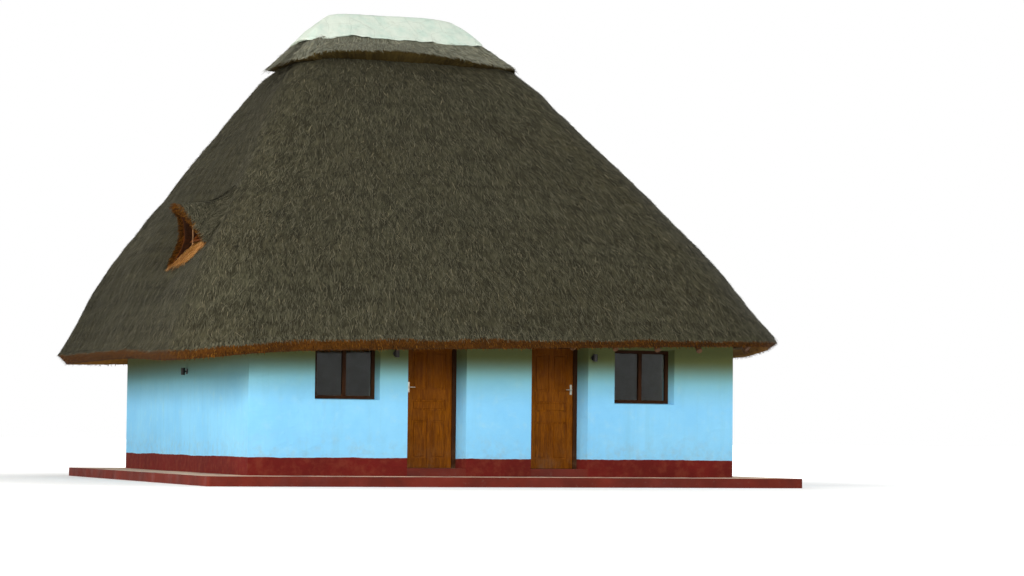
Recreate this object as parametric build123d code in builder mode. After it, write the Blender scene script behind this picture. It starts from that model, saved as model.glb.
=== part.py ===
from build123d import *
import os
from math import atan, cos, pi, radians, sin, sqrt, tan

# Rondavel hut in millimetres. The origin is at ground level, in the middle of the walls'
# rectangle. The front, with both doors, faces -Y, and +Z is up.

# Walls and ground works
wall_length = 8600
wall_depth = 8400
wall_thickness = 450
slab_height = 160
slab_margin = 900
slab_corner = 60
floor_rise = 130
front_y = -wall_depth / 2
inner_x = wall_length / 2 - wall_thickness
inner_y = wall_depth / 2 - wall_thickness
slab_top = slab_height
floor_top = slab_top + floor_rise

# Roof shape: overhangs, heights, and the ridge, which sits a little left of the middle
overhang_front = 800
overhang_back = 1050
overhang_left = 1300
overhang_right = 800
eave_height = 2390
ridge_height = 8160
ridge_length = 2660
ridge_x = -430
eave_radius = 1100
hip_facets = 8
thatch_thickness = 200
eave_cut_drop = 125
coat_top_cut = 230
coat_top_roundness = 0.8
loft_top_cut = 20
top_roundness = 0.3
batten_thickness = 25
batten_width = 38
rafter_diameter = 100
seat_gap = 0.3

# Roof timbers
plate_width = 150
plate_height = 75
rafter_notch = 30
rafter_spacing = 770
batten_rise = 300
rafter_tail_setback = 120
hip_pole_diameter = 130
lath_start = 150
lath_end_margin = 60
jack_margin = 900
jack_head_margin = 170
jack_shortest = 350
hip_foot_rise = 110

# Doors, hinged to swing into the room
door_centre = 1090
leaf_width = 813
leaf_height = 2032
leaf_thickness = 44
leaf_gap = 5
door_frame_face = 70
door_frame_depth = 80
door_stop = 14
door_reveal_splay = 45
stile_width = 110
top_rail = 115
bottom_rail = 160
middle_stile = 70
lock_rail = 165
tall_panel_height = 625
panel_recess = 12
panel_field_margin = 28
panel_field_rise = 8
panel_field_taper = 40
hinge_radius = 7
hinge_length = 90
hinge_plate = 3
hinge_plate_width = 34
hinge_offset = 230
knuckle_gap = 0.3

# Lever handles on long back plates
handle_height = 1330
handle_inset = 42
handle_plate_width = 36
handle_plate_height = 170
handle_plate_thickness = 6
spindle_diameter = 10
spindle_clearance = 0.5
lever_reach = 45
lever_length = 110
lever_diameter = 16

# Windows, two lights each
window_centre = 2640
window_width = 1050
window_height = 900
window_sill_height = 1250
window_set_back = 190
window_reveal_splay = 30
window_frame_face = 55
window_frame_depth = 70
mullion_width = 60
glass_thickness = 5
glass_bite = 8
glass_clearance = 0.3

# Thatch collar and cement cap on the ridge
collar_drop = 680
collar_thickness = 160
collar_cut_drop = 120
collar_bite = 40
collar_radius = 300
collar_top_cut = 60
cap_drop = 310
cap_thickness = 45
cap_top_cut = 50
cap_radius = 160

# Hooded vent in the left slope: a gablet of thatch over a small three-sided air hole
vent_height = 3670
vent_y = -1700
vent_width = 1840
vent_rise = 1050
vent_wall = 150
vent_reach = 1500
vent_lean = 8
vent_stand_out = 30
hole_rise = 430
hole_width = 560
hole_height = 340
stick_diameter = 24
stick_inset = 60

# Small outdoor wall lamps
lamp_height = 2160
lamp_side_height = 1900
lamp_left_x = -1820
lamp_right_x = 1700
lamp_side_y = -280
lamp_plate_radius = 48
lamp_plate_thickness = 14
lamp_radius = 36
lamp_reach = 75
lamp_arm_radius = 12
lamp_height_half = 62

os.makedirs("parts", exist_ok=True)


def keep(piece, name):
    """Label a finished piece and write it under its node name."""
    piece.part.label = name
    export_step(piece.part, f"parts/{name}.step")


# Roof planes. Each side has its eave line, its run in plan and so its own pitch.
eave_y = {"front": -(wall_depth / 2 + overhang_front), "back": wall_depth / 2 + overhang_back}
eave_x = {"left": -(wall_length / 2 + overhang_left), "right": wall_length / 2 + overhang_right}
ridge_y = (eave_y["front"] + eave_y["back"]) / 2
ridge_end = {"left": ridge_x - ridge_length / 2, "right": ridge_x + ridge_length / 2}
roof_rise = ridge_height - eave_height
run = {
    "front": ridge_y - eave_y["front"],
    "back": eave_y["back"] - ridge_y,
    "left": ridge_end["left"] - eave_x["left"],
    "right": eave_x["right"] - ridge_end["right"],
}
pitch = {side: atan(roof_rise / run[side]) for side in run}


quarter_turn = pi / 2


def inset(side, height, depth):
    """Plan distance from the eave line to a roof plane, at a height and a depth under the thatch."""
    return (height - eave_height) / tan(pitch[side]) + depth / sin(pitch[side])


def roof_rectangle(height, depth):
    """Plan rectangle of the roof at one height: x low, x high, y low, y high."""
    x_low = eave_x["left"] + inset("left", height, depth)
    x_high = eave_x["right"] - inset("right", height, depth)
    y_low = eave_y["front"] + inset("front", height, depth)
    y_high = eave_y["back"] - inset("back", height, depth)
    return x_low, x_high, y_low, y_high


def roof_section(height, depth, radius):
    """Sketch of that rectangle, its corners turned through small facets on a radius."""
    x_low, x_high, y_low, y_high = roof_rectangle(height, depth)
    corners = [
        (x_high - radius, y_low + radius, -quarter_turn),
        (x_high - radius, y_high - radius, 0),
        (x_low + radius, y_high - radius, quarter_turn),
        (x_low + radius, y_low + radius, 2 * quarter_turn),
    ]
    points = []
    for x, y, first in corners:
        for step in range(hip_facets + 1):
            angle = first + quarter_turn * step / hip_facets
            points.append((x + radius * cos(angle), y + radius * sin(angle)))
    with BuildSketch(Plane.XY.offset(height)) as section:
        with BuildLine():
            Polyline(*points, close=True)
        make_face()
    return section.sketch


def plane_height(side, distance, depth):
    """Height of a roof plane at a plan distance in from its eave line."""
    return eave_height + distance * tan(pitch[side]) - depth / cos(pitch[side])


# Depths under the outer thatch, measured square to the slope
batten_depth = thatch_thickness + seat_gap
rafter_top_depth = batten_depth + batten_thickness + seat_gap
rafter_axis_depth = rafter_top_depth + rafter_diameter / 2
rafter_under_depth = rafter_top_depth + rafter_diameter
cut_height = eave_height - eave_cut_drop


def roof_room(depth):
    """Space under the roof surface at one depth, soft corners included, down to the ground."""
    foot = roof_section(cut_height, depth, eave_radius - thatch_thickness)
    head = ridge_height - depth / cos(pitch["front"]) - loft_top_cut
    with BuildPart() as room:
        loft([foot, roof_section(head, depth, loft_top_cut * top_roundness)], ruled=True)
        extrude(foot, amount=-cut_height)
    return room.part


# Eave corners, where the hips start
hips = {
    ("left", "front"): (eave_x["left"], eave_y["front"]),
    ("right", "front"): (eave_x["right"], eave_y["front"]),
    ("right", "back"): (eave_x["right"], eave_y["back"]),
    ("left", "back"): (eave_x["left"], eave_y["back"]),
}

# Under a soft corner the hip pole's foot lies deeper than its head
corner_sag = (1 - 1 / sqrt(2)) * (eave_radius - thatch_thickness) * sin(pitch["front"])
hip_depth = rafter_top_depth + hip_pole_diameter / 2
hip_foot_depth = hip_depth + corner_sag
hip_foot = cut_height + hip_foot_rise
hip_head = ridge_height - hip_depth / cos(pitch["front"])


def roof_corner(end, side, height, depth):
    """Point of a hip line at one height and depth."""
    x_low, x_high, y_low, y_high = roof_rectangle(height, depth)
    return (x_low if end == "left" else x_high, y_low if side == "front" else y_high, height)


def pole_between(start, finish, diameter):
    """Round pole between two points."""
    axis = Vector(*finish) - Vector(*start)
    with BuildPart() as pole:
        with BuildSketch(Plane(origin=start, z_dir=tuple(axis))):
            Circle(diameter / 2)
        extrude(amount=axis.length)
    return pole.part


# Ridge pole with the four hip poles that lean on its ends
def ridge_and_hips(diameter):
    """Ridge and hip poles at one diameter, the larger one for the seats cut for them."""
    left_end = roof_corner("left", "front", hip_head, hip_depth)
    right_end = roof_corner("right", "front", hip_head, hip_depth)
    with BuildPart() as frame:
        add(pole_between(left_end, right_end, diameter))
        for end, side in hips:
            foot = roof_corner(end, side, hip_foot, hip_foot_depth)
            head = roof_corner(end, side, hip_head, hip_depth)
            add(pole_between(foot, head, diameter))
    return frame.part


pole_seats = ridge_and_hips(hip_pole_diameter + 2 * seat_gap)

# Wall heads: each plate's outer top edge is let into the rafters by the notch
overhang = {
    "front": overhang_front,
    "back": overhang_back,
    "left": overhang_left,
    "right": overhang_right,
}
plate_top = {
    side: plane_height(side, overhang[side], rafter_under_depth) + rafter_notch for side in overhang
}
wall_head = {side: plate_top[side] - plate_height for side in plate_top}


# Plinth slab, room floor and the door thresholds
with BuildPart() as plinth_slab:
    with BuildSketch():
        RectangleRounded(wall_length + 2 * slab_margin, wall_depth + 2 * slab_margin, slab_corner)
    extrude(amount=slab_height)
keep(plinth_slab, "plinth_slab")

with BuildPart() as room_floor:
    with BuildSketch(Plane.XY.offset(slab_top)):
        Rectangle(2 * inner_x, 2 * inner_y)
    extrude(amount=floor_rise)
keep(room_floor, "room_floor")

door_inner = leaf_width + 2 * (leaf_gap + door_frame_face - door_stop)
door_outer = door_inner + 2 * door_reveal_splay
door_head = floor_top + leaf_height + 2 * leaf_gap + door_frame_face - door_stop
window_bottom = slab_top + window_sill_height
window_top = window_bottom + window_height


def doorway_plan(centre):
    """Splayed doorway between the wall's two faces."""
    frame_y = -inner_y - door_frame_depth
    with BuildSketch(Plane.XY.offset(slab_top)) as plan:
        with BuildLine():
            Polyline(
                (centre - door_outer / 2, front_y),
                (centre + door_outer / 2, front_y),
                (centre + door_inner / 2, frame_y),
                (centre + door_inner / 2, -inner_y),
                (centre - door_inner / 2, -inner_y),
                (centre - door_inner / 2, frame_y),
                close=True,
            )
        make_face()
    return plan.sketch


for name, centre in (("threshold_left", -door_centre), ("threshold_right", door_centre)):
    with BuildPart() as threshold:
        extrude(doorway_plan(centre), amount=floor_rise)
    keep(threshold, name)


# Masonry walls. The front is split beside and over its two doorways.
def wall_block(x_low, x_high, y_low, y_high, head):
    """Upright masonry block from the slab to its wall head."""
    with BuildPart() as block:
        with BuildSketch(Plane.XY.offset(slab_top)):
            with Locations(((x_low + x_high) / 2, (y_low + y_high) / 2)):
                Rectangle(x_high - x_low, y_high - y_low)
        extrude(amount=head - slab_top)
    return block.part


def window_cut(centre):
    """Space of a window, straight at the frame and splayed towards the front face."""
    frame_y = front_y + window_set_back
    splay = window_reveal_splay
    with BuildPart() as cut:
        with BuildSketch(Plane.XZ.offset(-frame_y)):
            with Locations((centre, (window_bottom + window_top) / 2)):
                Rectangle(window_width, window_height)
        with BuildSketch(Plane.XZ.offset(-front_y)):
            with Locations((centre, (window_bottom + window_top) / 2)):
                Rectangle(window_width + 2 * splay, window_height + splay)
        loft()
        with BuildSketch(Plane.XZ.offset(-frame_y)):
            with Locations((centre, (window_bottom + window_top) / 2)):
                Rectangle(window_width, window_height)
        extrude(amount=-(wall_thickness - window_set_back))
    return cut.part


front_spans = {
    "front_wall_left": (-wall_length / 2, -door_centre, -window_centre),
    "front_wall_middle": (-door_centre, door_centre, None),
    "front_wall_right": (door_centre, wall_length / 2, window_centre),
}
for name, (x_low, x_high, window_x) in front_spans.items():
    with BuildPart() as front_wall:
        add(wall_block(x_low, x_high, front_y, -inner_y, wall_head["front"]))
        for centre in (-door_centre, door_centre):
            extrude(doorway_plan(centre), amount=wall_head["front"], mode=Mode.SUBTRACT)
        if window_x is not None:
            add(window_cut(window_x), mode=Mode.SUBTRACT)
        add(pole_seats, mode=Mode.SUBTRACT)
    keep(front_wall, name)

for name, centre in (("front_lintel_left", -door_centre), ("front_lintel_right", door_centre)):
    with BuildPart() as lintel:
        extrude(doorway_plan(centre), amount=wall_head["front"] - slab_top)
        with BuildSketch(Plane.XY.offset(slab_top)):
            with Locations((centre, (front_y - inner_y) / 2)):
                Rectangle(2 * door_outer, 2 * wall_thickness)
        extrude(amount=door_head - slab_top, mode=Mode.SUBTRACT)
    keep(lintel, name)

# Side walls stand between the front and back walls, and their heads stay under the slopes
under_rafters = roof_room(rafter_under_depth)

for name, side, box in (
    ("back_wall", "back", (-wall_length / 2, wall_length / 2, inner_y, wall_depth / 2)),
    ("left_wall", "left", (-wall_length / 2, -inner_x, -inner_y, inner_y)),
    ("right_wall", "right", (inner_x, wall_length / 2, -inner_y, inner_y)),
):
    with BuildPart() as wall:
        add(wall_block(*box, wall_head[side]))
        add(under_rafters, mode=Mode.INTERSECT)
        add(pole_seats, mode=Mode.SUBTRACT)
    keep(wall, name)


# Timber plates on the wall heads, flush with the outer faces
under_battens = roof_room(rafter_top_depth)


def plate_solid(side):
    """Plate along one wall head, ending where the next slopes come down."""
    level = plate_top[side]
    x_low, x_high, y_low, y_high = roof_rectangle(level, rafter_under_depth)
    across = min(x_high, wall_length / 2) - max(x_low, -wall_length / 2)
    middle_x = (min(x_high, wall_length / 2) + max(x_low, -wall_length / 2)) / 2
    side_low = max(y_low, -inner_y)
    side_high = min(y_high, inner_y)
    centres = {
        "front": (middle_x, front_y + plate_width / 2, across, plate_width),
        "back": (middle_x, -front_y - plate_width / 2, across, plate_width),
        "left": (-wall_length / 2 + plate_width / 2, (side_low + side_high) / 2,
                 plate_width, side_high - side_low),
        "right": (wall_length / 2 - plate_width / 2, (side_low + side_high) / 2,
                  plate_width, side_high - side_low),
    }
    x, y, width, depth = centres[side]
    with BuildPart() as plate:
        with BuildSketch(Plane.XY.offset(wall_head[side])):
            with Locations((x, y)):
                Rectangle(width, depth)
        extrude(amount=plate_height)
        add(under_battens, mode=Mode.INTERSECT)
    return plate


plates = {side: plate_solid(side) for side in pitch}
for side, plate in plates.items():
    keep(plate, f"wall_plate_{side}")


# Thatch: one thick coat with soft hips, cut square at the eaves, parted at the hips
coat_top = ridge_height - coat_top_cut
with BuildPart() as coat_envelope:
    loft([roof_section(eave_height, 0, eave_radius),
          roof_section(coat_top, 0, coat_top_cut * coat_top_roundness)], ruled=True)

with BuildPart() as coat:
    add(coat_envelope.part)
    loft([roof_section(eave_height, 0, eave_radius),
          roof_section(cut_height, thatch_thickness, eave_radius - thatch_thickness)], ruled=True)
    add(roof_room(thatch_thickness), mode=Mode.SUBTRACT)


# Vent in the left slope: a triangular hood that leans out, with an air hole behind it
def triangle(plane, width, rise):
    """Three-sided outline that stands on a plane's x axis."""
    with BuildSketch(plane) as outline:
        with BuildLine():
            Polyline((-width / 2, 0), (width / 2, 0), (0, rise), close=True)
        make_face()
    return outline.sketch


def vent_plane(height, stand_out):
    """Leaning plane that faces left, its origin at one height by the left slope's surface."""
    lean = radians(vent_lean)
    surface_x = eave_x["left"] + inset("left", height, 0)
    return Plane(
        origin=(surface_x - stand_out, ridge_y + vent_y, height),
        x_dir=(0, -1, 0),
        z_dir=(-cos(lean), 0, -sin(lean)),
    )


vent_mouth = vent_plane(vent_height, vent_stand_out)
hole_plane = vent_plane(vent_height + hole_rise, 0)
with BuildPart() as air_hole:
    extrude(triangle(hole_plane, hole_width, hole_height), amount=-vent_reach)
    extrude(triangle(hole_plane, hole_width, hole_height), amount=vent_wall)

with BuildPart() as hood_space:
    extrude(triangle(vent_mouth, vent_width - 2 * vent_wall, vent_rise - vent_wall), amount=-vent_reach)

with BuildPart() as vent_hood:
    extrude(triangle(vent_mouth, vent_width, vent_rise), amount=-vent_reach)
    add(hood_space.part, mode=Mode.SUBTRACT)
    add(coat_envelope.part, mode=Mode.SUBTRACT)
keep(vent_hood, "vent_hood")


def beyond(end, side):
    """Point well past the eave corner, on the line of a hip."""
    x_eave, y_eave = hips[(end, side)]
    return (2 * x_eave - ridge_end[end], 2 * y_eave - ridge_y)


def rafter_area(side):
    """Plan area that the rafters of one slope may fill, clear of its soft hips."""
    along_x = side in ("front", "back")
    corner_points = []
    head_points = []
    for key in wedges[side]:
        if isinstance(key, str):
            continue
        end, face = key
        x, y = hips[key]
        inward = (1 if end == "left" else -1) if along_x else (1 if face == "front" else -1)
        head_x, head_y = ridge_end[end], ridge_y
        reach = 2 * jack_margin - jack_head_margin
        if along_x:
            corner_points.append((2 * x - head_x + inward * reach, 2 * y - head_y))
            head_points.insert(0, (head_x + inward * jack_head_margin, head_y))
        else:
            corner_points.append((2 * x - head_x, 2 * y - head_y + inward * reach))
            head_points = [(head_x, head_y)]
    with BuildSketch() as area:
        with BuildLine():
            Polyline(*corner_points, *head_points, close=True)
        make_face()
    return area.sketch


wedges = {
    "front": [("left", "front"), ("right", "front"), "right", "left"],
    "back": [("right", "back"), ("left", "back"), "left", "right"],
    "left": [("left", "back"), ("left", "front"), "left"],
    "right": [("right", "front"), ("right", "back"), "right"],
}


def wedge(side):
    """Plan area of one slope, from its eave to the ridge."""
    points = [
        (ridge_end[key], ridge_y) if isinstance(key, str) else beyond(*key) for key in wedges[side]
    ]
    with BuildSketch() as area:
        with BuildLine():
            Polyline(*points, close=True)
        make_face()
    return area.sketch


for side in wedges:
    with BuildPart() as slope:
        add(coat.part)
        extrude(wedge(side), amount=ridge_height, mode=Mode.INTERSECT)
        if side == "left":
            add(air_hole.part, mode=Mode.SUBTRACT)
    keep(slope, f"thatch_{side}")


# Pole rafters and the laths that carry the thatch, slope by slope
slope_facing = {"front": (0, -1), "back": (0, 1), "left": (-1, 0), "right": (1, 0)}


def slope_frame(side, depth):
    """Plane on a slope: x along the eave, y up the slope, starting above the eave line."""
    out_x, out_y = slope_facing[side]
    start = {
        "front": (ridge_x, eave_y["front"]),
        "back": (ridge_x, eave_y["back"]),
        "left": (eave_x["left"], ridge_y),
        "right": (eave_x["right"], ridge_y),
    }[side]
    lean = pitch[side]
    normal = (out_x * sin(lean), out_y * sin(lean), cos(lean))
    origin = (start[0] - depth * normal[0], start[1] - depth * normal[1],
              eave_height - depth * normal[2])
    return Plane(origin=origin, x_dir=(-out_y, out_x, 0), z_dir=normal)


with BuildPart() as ridge_and_hip_poles:
    add(ridge_and_hips(hip_pole_diameter))
    for plate in plates.values():
        add(plate.part, mode=Mode.SUBTRACT)
keep(ridge_and_hip_poles, "ridge_and_hip_poles")

for side in slope_facing:
    axis_plane = slope_frame(side, rafter_axis_depth)
    half_eave = {
        "front": min(ridge_x - eave_x["left"], eave_x["right"] - ridge_x),
        "back": min(ridge_x - eave_x["left"], eave_x["right"] - ridge_x),
        "left": run["front"],
        "right": run["back"],
    }[side]
    slope_length = run[side] / cos(pitch[side])
    per_half = int((half_eave - jack_margin - jack_shortest) / rafter_spacing)
    with BuildPart() as rafters:
        foot_plane = Plane(origin=axis_plane.origin, x_dir=axis_plane.x_dir, z_dir=axis_plane.y_dir)
        with BuildSketch(foot_plane.offset(rafter_tail_setback)):
            with GridLocations(rafter_spacing, 1, 2 * per_half + 1, 1):
                Circle(rafter_diameter / 2)
        extrude(amount=slope_length)
        extrude(rafter_area(side), amount=ridge_height, mode=Mode.INTERSECT)
        add(pole_seats, mode=Mode.SUBTRACT)
        for plate in plates.values():
            add(plate.part, mode=Mode.SUBTRACT)
        if side == "left":
            add(air_hole.part, mode=Mode.SUBTRACT)
    keep(rafters, f"rafters_{side}")

# Laths that carry the thatch: straight and level on each slope, ending short of the soft hips
laths_per_slope = int((roof_rise - 2 * lath_start) / batten_rise) + 1


def slope_laths(side):
    """Laths of one slope, one above the other."""
    rise = 1 / sin(pitch[side])
    with BuildSketch() as lath_area:
        add(rafter_area(side))
        offset(amount=-lath_end_margin, kind=Kind.INTERSECTION)
    with BuildPart() as laths:
        with BuildSketch(slope_frame(side, batten_depth + batten_thickness)):
            for level in range(laths_per_slope):
                with Locations((0, (lath_start + level * batten_rise) * rise)):
                    Rectangle(2 * wall_length, batten_width)
        extrude(amount=batten_thickness)
        extrude(lath_area.sketch, amount=ridge_height, mode=Mode.INTERSECT)
    return laths.part


with BuildPart() as battens:
    for side in slope_facing:
        add(slope_laths(side))
    add(air_hole.part, mode=Mode.SUBTRACT)
keep(battens, "battens")


# Thatch collar: a second, shorter coat round the ridge with its own cut edge
collar_foot = ridge_height - collar_drop
collar_ridge = ridge_height + collar_thickness / cos(pitch["front"])
collar_top = collar_ridge - collar_top_cut
with BuildPart() as collar_envelope:
    loft([roof_section(collar_foot, -collar_thickness, collar_radius),
          roof_section(collar_top, -collar_thickness, collar_top_cut * top_roundness)], ruled=True)

with BuildPart() as thatch_collar:
    add(collar_envelope.part)
    loft([roof_section(collar_foot, -collar_thickness, collar_radius),
          roof_section(collar_foot - collar_cut_drop, collar_bite, collar_radius)], ruled=True)
    add(coat_envelope.part, mode=Mode.SUBTRACT)
keep(thatch_collar, "thatch_collar")

# Cement cap over the top of the collar
cap_depth = -(collar_thickness + cap_thickness)
cap_ridge = ridge_height - cap_depth / cos(pitch["front"])
with BuildPart() as ridge_cap:
    loft([roof_section(ridge_height - cap_drop, cap_depth, cap_radius),
          roof_section(cap_ridge - cap_top_cut, cap_depth, cap_top_cut * top_roundness)], ruled=True)
    add(collar_envelope.part, mode=Mode.SUBTRACT)
keep(ridge_cap, "ridge_cap")


# Doors: frame with a rebate and stop, a leaf of five raised panels, hinges and lever handles
leaf_foot = floor_top + leaf_gap
leaf_inner_y = -inner_y
leaf_outer_y = leaf_inner_y - leaf_thickness
rebate_width = leaf_width + 2 * leaf_gap
rebate_height = leaf_height + 2 * leaf_gap
hinge_y = leaf_inner_y + hinge_radius
knuckle_length = hinge_length / 3
hinge_levels = [
    leaf_foot + hinge_offset,
    leaf_foot + leaf_height / 2,
    leaf_foot + leaf_height - hinge_offset,
]
pin_radius = hinge_radius / 2


def front_plane(y):
    """Upright plane facing the front, at one distance from the middle of the hut."""
    return Plane.XZ.offset(-y)


def knuckle(x, low, length, inner_radius):
    """One barrel of a hinge."""
    with BuildPart() as barrel:
        with BuildSketch(Plane.XY.offset(low)):
            with Locations((x, hinge_y)):
                Circle(hinge_radius)
                if inner_radius > 0:
                    Circle(inner_radius, mode=Mode.SUBTRACT)
        extrude(amount=length)
    return barrel.part


def hinge_leaf(x, side, low, length):
    """Flat leaf of a hinge beside its barrel, on the inner face of the wood."""
    with BuildPart() as leaf:
        with BuildSketch(Plane.XY.offset(low)):
            with Locations((x + side * (hinge_radius + hinge_plate_width) / 2,
                            leaf_inner_y + hinge_plate / 2)):
                Rectangle(hinge_plate_width - hinge_radius / 2, hinge_plate)
        extrude(amount=length)
    return leaf.part


def door_frame(centre, hinge_side):
    """Two posts and a head, rebated for the leaf, with the fixed halves of the hinges."""
    hinge_x = centre + hinge_side * (leaf_width / 2 + leaf_gap / 2)
    with BuildPart() as frame:
        with BuildSketch(front_plane(-inner_y - door_frame_depth)):
            with Locations((centre, (floor_top + door_head) / 2)):
                Rectangle(door_inner, door_head - floor_top)
        extrude(amount=-door_frame_depth)
        with BuildSketch(front_plane(leaf_outer_y - leaf_gap)):
            with Locations((centre, floor_top + rebate_height / 2)):
                Rectangle(rebate_width, rebate_height)
        extrude(amount=-(leaf_thickness + leaf_gap), mode=Mode.SUBTRACT)
        with BuildSketch(front_plane(-inner_y - door_frame_depth)):
            with Locations((centre, floor_top + (rebate_height - door_stop) / 2)):
                Rectangle(rebate_width - 2 * door_stop, rebate_height - door_stop)
        extrude(amount=-door_frame_depth, mode=Mode.SUBTRACT)
        for level in hinge_levels:
            low = level - hinge_length / 2
            for start in (low, low + 2 * knuckle_length):
                add(knuckle(hinge_x, start, knuckle_length, 0))
                add(hinge_leaf(hinge_x, hinge_side, start, knuckle_length))
            with BuildSketch(Plane.XY.offset(low)):
                with Locations((hinge_x, hinge_y)):
                    Circle(pin_radius)
            extrude(amount=hinge_length)
    return frame


def leaf_panels():
    """Centres and sizes of the five panels: two tall, one wide, two tall."""
    tall_width = (leaf_width - 2 * stile_width - middle_stile) / 2
    wide_width = leaf_width - 2 * stile_width
    lower = bottom_rail + tall_panel_height / 2
    upper = leaf_height - top_rail - tall_panel_height / 2
    wide_height = leaf_height - top_rail - bottom_rail - 2 * tall_panel_height - 2 * lock_rail
    offset_x = (tall_width + middle_stile) / 2
    panels = [(side * offset_x, level, tall_width, tall_panel_height)
              for side in (-1, 1) for level in (lower, upper)]
    return panels + [(0, (lower + upper) / 2, wide_width, wide_height)]


def door_leaf(centre, hinge_side):
    """Panelled leaf with its halves of the hinges and the bore for the handle spindle."""
    hinge_x = centre + hinge_side * (leaf_width / 2 + leaf_gap / 2)
    handle_x = centre - hinge_side * (leaf_width / 2 - handle_inset)
    with BuildPart() as leaf:
        with BuildSketch(front_plane(leaf_outer_y)):
            with Locations((centre, leaf_foot + leaf_height / 2)):
                Rectangle(leaf_width, leaf_height)
        extrude(amount=-leaf_thickness)
        for face_y, inward in ((leaf_outer_y, -1), (leaf_inner_y, 1)):
            for x, level, width, height in leaf_panels():
                with BuildSketch(front_plane(face_y)):
                    with Locations((centre + x, leaf_foot + level)):
                        Rectangle(width, height)
                extrude(amount=inward * panel_recess, mode=Mode.SUBTRACT)
                floor_y = face_y - inward * panel_recess
                margin = 2 * panel_field_margin
                with BuildSketch(front_plane(floor_y)):
                    with Locations((centre + x, leaf_foot + level)):
                        Rectangle(width - margin, height - margin)
                extrude(amount=-inward * panel_field_rise, taper=panel_field_taper)
        for level in hinge_levels:
            start = level - knuckle_length / 2 + knuckle_gap
            length = knuckle_length - 2 * knuckle_gap
            add(knuckle(hinge_x, start, length, pin_radius + knuckle_gap))
            add(hinge_leaf(hinge_x, -hinge_side, start, length))
        with BuildSketch(front_plane(leaf_outer_y)):
            with Locations((handle_x, leaf_foot + handle_height)):
                Circle(spindle_diameter / 2 + spindle_clearance)
        extrude(amount=-leaf_thickness, mode=Mode.SUBTRACT)
    return leaf


def door_handle(centre, hinge_side):
    """Back plates and levers on both faces, joined by the spindle through the leaf."""
    x = centre - hinge_side * (leaf_width / 2 - handle_inset)
    level = leaf_foot + handle_height
    with BuildPart() as handle:
        with BuildSketch(front_plane(leaf_inner_y + lever_reach)):
            with Locations((x, level)):
                Circle(spindle_diameter / 2)
        extrude(amount=leaf_thickness + 2 * lever_reach)
        for face_y, out in ((leaf_outer_y, 1), (leaf_inner_y, -1)):
            with BuildSketch(front_plane(face_y)):
                with Locations((x, level)):
                    RectangleRounded(handle_plate_width, handle_plate_height, handle_plate_thickness)
            extrude(amount=out * handle_plate_thickness)
            with BuildSketch(Plane.YZ.offset(x - hinge_side * lever_diameter / 2)):
                with Locations((face_y - out * lever_reach, level)):
                    Circle(lever_diameter / 2)
            extrude(amount=hinge_side * lever_length)
    return handle


for name, centre, hinge_side in (("left", -door_centre, 1), ("right", door_centre, -1)):
    keep(door_frame(centre, hinge_side), f"door_frame_{name}")
    keep(door_leaf(centre, hinge_side), f"door_leaf_{name}")
    keep(door_handle(centre, hinge_side), f"door_handle_{name}")


# Windows: a grooved frame with a middle post, and one pane a light
light_width = (window_width - 2 * window_frame_face - mullion_width) / 2
light_height = window_height - 2 * window_frame_face
light_offset = (light_width + mullion_width) / 2
window_mid = (window_bottom + window_top) / 2
window_front_y = front_y + window_set_back
glass_y = window_front_y + window_frame_depth / 2


def panes(centre, spare):
    """Both panes of a window, or with spare the grooves that hold them."""
    with BuildPart() as glass:
        with BuildSketch(front_plane(glass_y - glass_thickness / 2 - spare)):
            for side in (-1, 1):
                with Locations((centre + side * light_offset, window_mid)):
                    Rectangle(light_width + 2 * (glass_bite + spare),
                              light_height + 2 * (glass_bite + spare))
        extrude(amount=-(glass_thickness + 2 * spare))
    return glass


for name, centre in (("left", -window_centre), ("right", window_centre)):
    with BuildPart() as window_frame:
        with BuildSketch(front_plane(window_front_y)):
            with Locations((centre, window_mid)):
                Rectangle(window_width, window_height)
            for side in (-1, 1):
                with Locations((centre + side * light_offset, window_mid)):
                    Rectangle(light_width, light_height, mode=Mode.SUBTRACT)
        extrude(amount=-window_frame_depth)
        add(panes(centre, glass_clearance).part, mode=Mode.SUBTRACT)
    keep(window_frame, f"window_frame_{name}")
    keep(panes(centre, 0), f"window_glass_{name}")


# Wall lamps: a round back plate, a short arm and an upright barrel
def wall_lamp(plane):
    """Lamp on a wall face: the plane lies on the wall, its z axis points outwards."""
    with BuildPart() as lamp:
        with BuildSketch(plane):
            Circle(lamp_plate_radius)
        extrude(amount=lamp_plate_thickness)
        with BuildSketch(plane):
            Circle(lamp_arm_radius)
        extrude(amount=lamp_reach)
        barrel = Plane(origin=plane.origin + plane.z_dir * lamp_reach, z_dir=(0, 0, 1))
        with BuildSketch(barrel.offset(-lamp_height_half)):
            Circle(lamp_radius)
        extrude(amount=2 * lamp_height_half)
    return lamp


lamps = {
    "wall_lamp_left": Plane(origin=(lamp_left_x, front_y, lamp_height), z_dir=(0, -1, 0)),
    "wall_lamp_right": Plane(origin=(lamp_right_x, front_y, lamp_height), z_dir=(0, -1, 0)),
    "wall_lamp_side": Plane(origin=(-wall_length / 2, lamp_side_y, lamp_side_height),
                            z_dir=(-1, 0, 0)),
}
for name, plane in lamps.items():
    keep(wall_lamp(plane), name)

# Stick that props the vent's hood: it stands on the thatch and ends under the hood's ridge
with BuildPart() as vent_stick:
    with BuildSketch(Plane.XY.offset(vent_height)):
        with Locations((vent_mouth.origin.X + stick_inset, vent_mouth.origin.Y)):
            Circle(stick_diameter / 2)
    extrude(amount=2 * vent_rise)
    add(hood_space.part, mode=Mode.INTERSECT)
    add(coat_envelope.part, mode=Mode.SUBTRACT)
keep(vent_stick, "vent_stick")
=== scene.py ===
import bpy
import numpy as np
from math import atan, cos, pi, radians, sin, tan
from mathutils import Matrix, Vector, noise
from mathutils.bvhtree import BVHTree


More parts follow.
